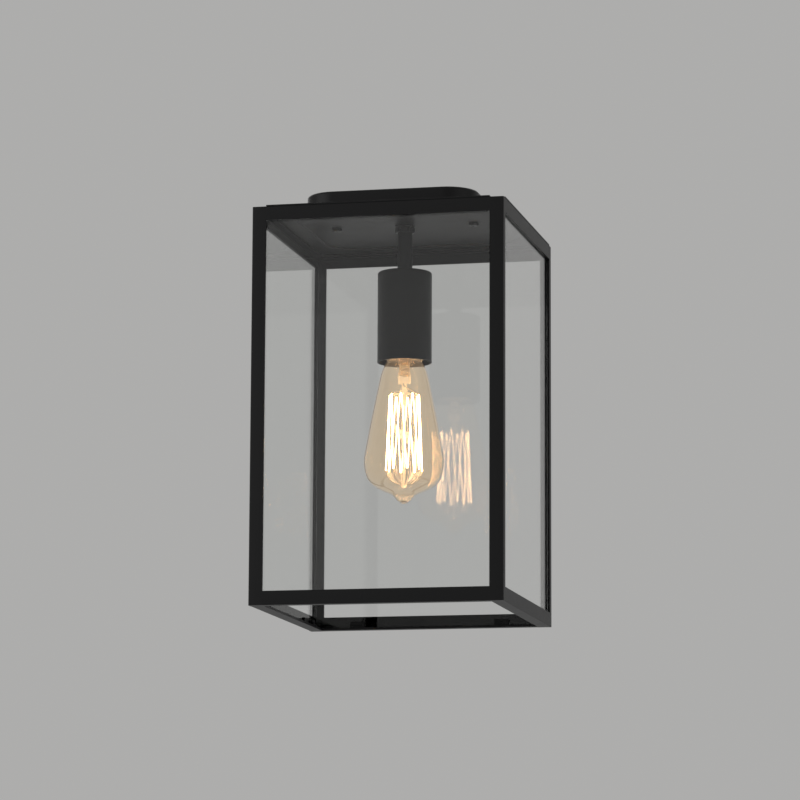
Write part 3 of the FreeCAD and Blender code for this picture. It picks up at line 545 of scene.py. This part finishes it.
def room_world():
    """Even light from all round, with the plain backdrop where it is looked at."""
    f = finish()
    world = bpy.data.worlds.new("room")
    world.use_nodes = True
    nodes, links = world.node_tree.nodes, world.node_tree.links
    nodes.clear()
    out = nodes.new("ShaderNodeOutputWorld")
    seen = nodes.new("ShaderNodeBackground")
    light = nodes.new("ShaderNodeBackground")
    mix = nodes.new("ShaderNodeMixShader")
    path = nodes.new("ShaderNodeLightPath")
    seen.inputs["Color"].default_value = (*f.backdrop, 1.0)
    light.inputs["Color"].default_value = (0.80, 0.80, 0.80, 1.0)
    light.inputs["Strength"].default_value = f.daylight
    straight = nodes.new("ShaderNodeMath")
    straight.operation = "MAXIMUM"
    mirrored = nodes.new("ShaderNodeMath")
    mirrored.operation = "MAXIMUM"
    links.new(path.outputs["Is Camera Ray"], straight.inputs[0])
    links.new(path.outputs["Is Transmission Ray"], straight.inputs[1])
    links.new(straight.outputs[0], mirrored.inputs[0])
    links.new(path.outputs["Is Glossy Ray"], mirrored.inputs[1])
    links.new(mirrored.outputs[0], mix.inputs[0])
    links.new(light.outputs[0], mix.inputs[1])
    links.new(seen.outputs[0], mix.inputs[2])
    links.new(mix.outputs[0], out.inputs["Surface"])
    return world


def plain_floor():
    half, z = 45.0, -3.5
    mesh = bpy.data.meshes.new("floor")
    mesh.from_pydata([(-half, -half, z), (half, -half, z), (half, half, z), (-half, half, z)],
                     [], [(0, 1, 2, 3)])
    mesh.materials.append(solid_finish("floor_pale", (0.74, 0.74, 0.73), 0.7, grain=30.0,
                                       bump=0.02))
    return bpy.data.objects.new("floor", mesh)


def soft_lamp(name, place, width, power):
    """Square area lamp aimed at the middle of the lantern."""
    data = bpy.data.lights.new(name, "AREA")
    data.size = width
    data.energy = power
    lamp = bpy.data.objects.new(name, data)
    way = Vector((0.0, 0.0, -0.17)) - Vector(place)
    lamp.location = place
    lamp.rotation_euler = way.to_track_quat("-Z", "Y").to_euler()
    lamp.visible_camera = False
    lamp.visible_transmission = False
    return lamp


# --- Operators ---

class LANTERN_OT_finishes(bpy.types.Operator):
    """Make the metal, glass, ceramic, rubber and insulation finishes"""
    bl_idname = "lantern.finishes"
    bl_label = "Finishes"

    def execute(self, context):
        f = finish()
        solid_finish("black_satin", f.metal, 0.42, grain=1500.0, bump=0.025, spread=0.03,
                     specular=0.20)
        solid_finish("black_screw", (0.006, 0.006, 0.006), 0.28, grain=1200.0, bump=0.02,
                     specular=0.35)
        solid_finish("zinc_steel", (0.60, 0.60, 0.58), 0.30, 1.0, grain=700.0, bump=0.05)
        solid_finish("brass", (0.74, 0.52, 0.22), 0.27, 1.0, grain=800.0, bump=0.03)
        solid_finish("support_wire", (0.50, 0.46, 0.40), 0.32, 1.0, grain=900.0, bump=0.02)
        solid_finish("ceramic", (0.80, 0.79, 0.74), 0.22, grain=260.0, bump=0.03, coat=0.6)
        solid_finish("black_rubber", (0.02, 0.02, 0.02), 0.62, grain=1400.0, bump=0.10)
        solid_finish("white_block", (0.78, 0.77, 0.72), 0.42, grain=700.0, bump=0.05)
        solid_finish("lead_brown", (0.13, 0.045, 0.018), 0.40, grain=600.0, bump=0.02)
        solid_finish("lead_blue", (0.02, 0.09, 0.36), 0.40, grain=600.0, bump=0.02)
        solid_finish("black_vitrite", (0.012, 0.012, 0.014), 0.18, grain=500.0, bump=0.03,
                     spread=0.04)
        solid_finish("solder", (0.50, 0.51, 0.52), 0.34, 1.0, grain=500.0, bump=0.12)
        clear_finish("clear_glass", f.pane, 1.5)
        envelope_finish()
        mount_finish()
        glow_finish()
        striped_finish()
        return {"FINISHED"}


class LANTERN_OT_box(bpy.types.Operator):
    """Dress the posts, rails and lid of the box"""
    bl_idname = "lantern.box"
    bl_label = "Box frame"

    def execute(self, context):
        edge = sizes().edge
        for node in SLOT_OF:
            if node.startswith(("post_", "top_rail_", "bottom_rail_")):
                dressed(node, node + "_coated", edge)
        dressed("lid", "lid_coated", sizes().sheet_edge)
        dressed("pane_clips", "pane_clips_coated", sizes().sheet_edge, slot="black_satin")
        return {"FINISHED"}


class LANTERN_OT_panes(bpy.types.Operator):
    """Dress the four panes"""
    bl_idname = "lantern.panes"
    bl_label = "Panes"

    def execute(self, context):
        for side in ("front", "back", "left", "right"):
            dressed("pane_" + side, "pane_%s_polished" % side, 0.0, 20.0)
        return {"FINISHED"}


class LANTERN_OT_pan(bpy.types.Operator):
    """Dress the ceiling pan, its pillars, grommet, screws and wiring"""
    bl_idname = "lantern.pan"
    bl_label = "Ceiling pan"

    def execute(self, context):
        s = sizes()
        dressed("ceiling_pan", "ceiling_pan_coated", s.sheet_edge)
        dressed("cable_grommet", "cable_grommet_moulded")
        dressed("lid_pillars", "lid_pillars_coated")
        dressed("lid_screws", "lid_screws_black", s.sheet_edge)
        dressed("terminal_block", "terminal_block_moulded", s.sheet_edge)
        dressed("terminal_barrels", "terminal_barrels_brass")
        dressed("terminal_screws", "terminal_screws_plated")
        dressed("earth_terminal", "earth_terminal_brass", s.sheet_edge)
        for node in ("live_lead", "neutral_lead", "earth_lead"):
            dressed(node, node + "_insulated", 0.0, 50.0)
        low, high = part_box("lid_screws")
        spread = high[0] - (high[1] - low[1]) / 2
        threaded = 0.0095                   # length of thread down from the screw's end
        for side in (-1, 1):
            values = {"Radius": 0.00190, "Pitch": s.screw_pitch, "Turns": s.screw_turns,
                      "Ridge": 0.00011, "Place": (side * spread, 0.0, high[2] - threaded)}
            thread = grown("screw_thread", bpy.data.node_groups["thread"], values,
                           "black_screw")
            put(thread, "lid_screws", replaces=False)
        return {"FINISHED"}


class LANTERN_OT_stem(bpy.types.Operator):
    """Dress the stem, its nipples, nuts and washers"""
    bl_idname = "lantern.stem"
    bl_label = "Stem"

    def execute(self, context):
        s = sizes()
        for node in ("stem_nipple", "stem_lock_nut", "stem_lock_washer", "stem_washer",
                     "stem_nut", "stem_tube", "holder_nipple", "holder_nut"):
            dressed(node, node + "_dressed", s.sheet_edge)
        ridge, lead = 0.00010, 0.0003       # height of the thread, plain ends
        for node in ("stem_nipple", "holder_nipple"):
            low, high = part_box(node)
            values = {"Radius": high[0] - ridge, "Pitch": s.fine_pitch,
                      "Turns": (high[2] - low[2] - 2 * lead) / s.fine_pitch, "Ridge": ridge,
                      "Place": (0.0, 0.0, low[2] + lead)}
            thread = grown(node + "_thread", bpy.data.node_groups["thread"], values,
                           SLOT_OF[node])
            put(thread, node, replaces=False)
        return {"FINISHED"}


class LANTERN_OT_lampholder(bpy.types.Operator):
    """Dress the lampholder and wind the thread in its sleeve"""
    bl_idname = "lantern.lampholder"
    bl_label = "Lampholder"

    def execute(self, context):
        s = sizes()
        dressed("holder_shell", "holder_shell_coated")
        dressed("holder_bridge", "holder_bridge_plated", s.sheet_edge)
        dressed("bridge_screws", "bridge_screws_plated", s.sheet_edge)
        dressed("holder_core", "holder_core_glazed", s.edge)
        dressed("holder_terminals", "holder_terminals_brass", s.sheet_edge)
        dressed("holder_sleeve", "holder_sleeve_brass")
        dressed("centre_contact", "centre_contact_brass", s.sheet_edge)
        cap_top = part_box("lamp_cap")[1]
        reach = s.sleeve_turns * s.thread_pitch
        lead = 0.0008                       # plain length above the thread
        values = {"Radius": cap_top[0] + 0.00036, "Pitch": s.thread_pitch,
                  "Turns": s.sleeve_turns, "Ridge": 0.00022,
                  "Place": (0.0, 0.0, cap_top[2] - lead - reach)}
        thread = grown("sleeve_thread", bpy.data.node_groups["thread"], values, "brass")
        put(thread, "holder_sleeve", replaces=False)
        return {"FINISHED"}


class LANTERN_OT_lamp_cap(bpy.types.Operator):
    """Roll the lamp's screw cap, and dress its insulator and contact"""
    bl_idname = "lantern.lamp_cap"
    bl_label = "Lamp cap"

    def execute(self, context):
        s = sizes()
        low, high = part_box("lamp_cap")
        crest = high[0]
        rim, top = low[2], high[2]
        shoulder = top - s.cap_slope
        foot = rim + s.skirt
        runout, runin = 0.0012, 0.0008      # heights over which the thread starts and ends
        steps = 72

        def fade(z):
            start = min(1.0, max(0.0, (z - foot) / runout))
            end = min(1.0, max(0.0, (shoulder - z) / runin))
            return start * end

        def rolled(z, inset):
            def radius(a):
                wave = math.cos(2 * math.pi * (z - foot) / s.thread_pitch - a)
                return crest - inset - s.thread_depth * fade(z) * (0.5 - 0.5 * wave)
            return radius

        heights = [rim + (shoulder - rim) * i / steps for i in range(steps + 1)]
        rows = [(rolled(z, 0.0), z) for z in heights]
        rows.append((crest - 0.0009, shoulder + 0.0008))
        rows.append((s.cap_opening, top))
        rows.append((s.cap_opening - 0.0004, top - s.cap_wall))
        rows.append((crest - 0.0012, shoulder + 0.0004))
        rows += [(rolled(z, s.cap_wall), z) for z in reversed(heights)]
        rows.append(rows[0])
        points, faces = turned_rows(rows, 96)
        put(mesh_object("lamp_cap_rolled", points, faces, 50.0), "lamp_cap")
        dressed("cap_insulator", "cap_insulator_fused")
        dressed("cap_contact", "cap_contact_tinned", s.sheet_edge)
        return {"FINISHED"}


class LANTERN_OT_lamp_glass(bpy.types.Operator):
    """Blow the lamp's envelope from the profile of the solid"""
    bl_idname = "lantern.lamp_glass"
    bl_label = "Lamp envelope"

    def execute(self, context):
        outer, inner = glass_profile("lamp_glass")
        passes, on_axis = 10, 2e-5
        rows = eased(even(outer, 130), passes, 0.0125)
        rows += reversed(eased(even(inner, 118), passes, 0.0118))
        rows.append(rows[0])
        rows = [(0.0 if r < on_axis else r, z) for r, z in rows]
        points, faces = turned_rows(rows, 128)
        put(mesh_object("lamp_envelope", points, faces, 60.0), "lamp_glass")
        return {"FINISHED"}


class LANTERN_OT_lamp_inside(bpy.types.Operator):
    """Dress the mount, wires and filament, and add the filament's eyelets"""
    bl_idname = "lantern.lamp_inside"
    bl_label = "Filament and mount"

    def execute(self, context):
        s = sizes()
        dressed("lamp_mount", "lamp_mount_worked", 0.0, 50.0)
        dressed("lamp_supports", "lamp_supports_drawn", 0.0, 60.0)
        dressed("lamp_filament", "lamp_filament_lit", 0.0, 60.0)
        low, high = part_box("lamp_filament")
        step = 2 * math.pi / s.hooks
        rings = (("upper_eyelets", s.hooks, 1, s.cage_top, high[2] - 0.0004, 0.0),
                 ("lower_eyelets", s.hooks, 0, s.cage_bottom, low[2] + 0.0002, step / 2))
        for name, count, skip, radius, height, first in rings:
            values = {"Count": count, "Skip": skip, "Radius": radius, "Height": height,
                      "First angle": first, "Eye": s.eye, "Wire": s.eye_wire}
            ring = grown(name, bpy.data.node_groups["eyelets"], values, "support_wire")
            put(ring, "lamp_supports", replaces=False)
        return {"FINISHED"}


class LANTERN_OT_stage(bpy.types.Operator):
    """Set up the floor, backdrop, soft light and camera"""
    bl_idname = "lantern.stage"
    bl_label = "Stage"

    def execute(self, context):
        scene = context.scene
        scene.view_settings.view_transform = "Standard"
        scene.world = room_world()
        staged = [plain_floor(), soft_lamp("key", (-2.9, -2.5, 0.9), 3.4, 52.0),
                  soft_lamp("fill", (3.3, -1.7, -0.7), 3.4, 30.0),
                  soft_lamp("back", (-1.2, 3.2, 1.2), 3.2, 26.0)]
        camera = photo_camera()
        staged.append(camera)
        for obj in staged:
            scene.collection.objects.link(obj)
        scene.camera = camera
        return {"FINISHED"}


class LANTERN_PT_panel(bpy.types.Panel):
    """Lists the lantern's pieces, sizes and colours"""
    bl_idname = "LANTERN_PT_panel"
    bl_label = "Porch lantern"
    bl_space_type = "VIEW_3D"
    bl_region_type = "UI"
    bl_category = "Lantern"

    def draw(self, context):
        for group in (context.scene.lantern_sizes, context.scene.lantern_finish):
            column = self.layout.column(align=True)
            for name in group.bl_rna.properties.keys():
                if name not in ("rna_type", "name"):
                    column.prop(group, name)
        for operator in OPERATORS:
            self.layout.operator(operator.bl_idname)


OPERATORS = (LANTERN_OT_finishes, LANTERN_OT_box, LANTERN_OT_panes, LANTERN_OT_pan,
             LANTERN_OT_stem, LANTERN_OT_lampholder, LANTERN_OT_lamp_cap,
             LANTERN_OT_lamp_glass, LANTERN_OT_lamp_inside, LANTERN_OT_stage)
CLASSES = (LanternSizes, LanternFinish) + OPERATORS + (LANTERN_PT_panel,)


def register():
    for cls in CLASSES:
        bpy.utils.register_class(cls)
    bpy.types.Scene.lantern_sizes = bpy.props.PointerProperty(type=LanternSizes)
    bpy.types.Scene.lantern_finish = bpy.props.PointerProperty(type=LanternFinish)


def unregister():
    del bpy.types.Scene.lantern_finish
    del bpy.types.Scene.lantern_sizes
    for cls in reversed(CLASSES):
        bpy.utils.unregister_class(cls)


def main():
    register()
    eyelet_tree()
    thread_tree()
    for operator in OPERATORS:
        group, name = operator.bl_idname.split(".")
        getattr(getattr(bpy.ops, group), name)()


if __name__ == "__main__":
    main()
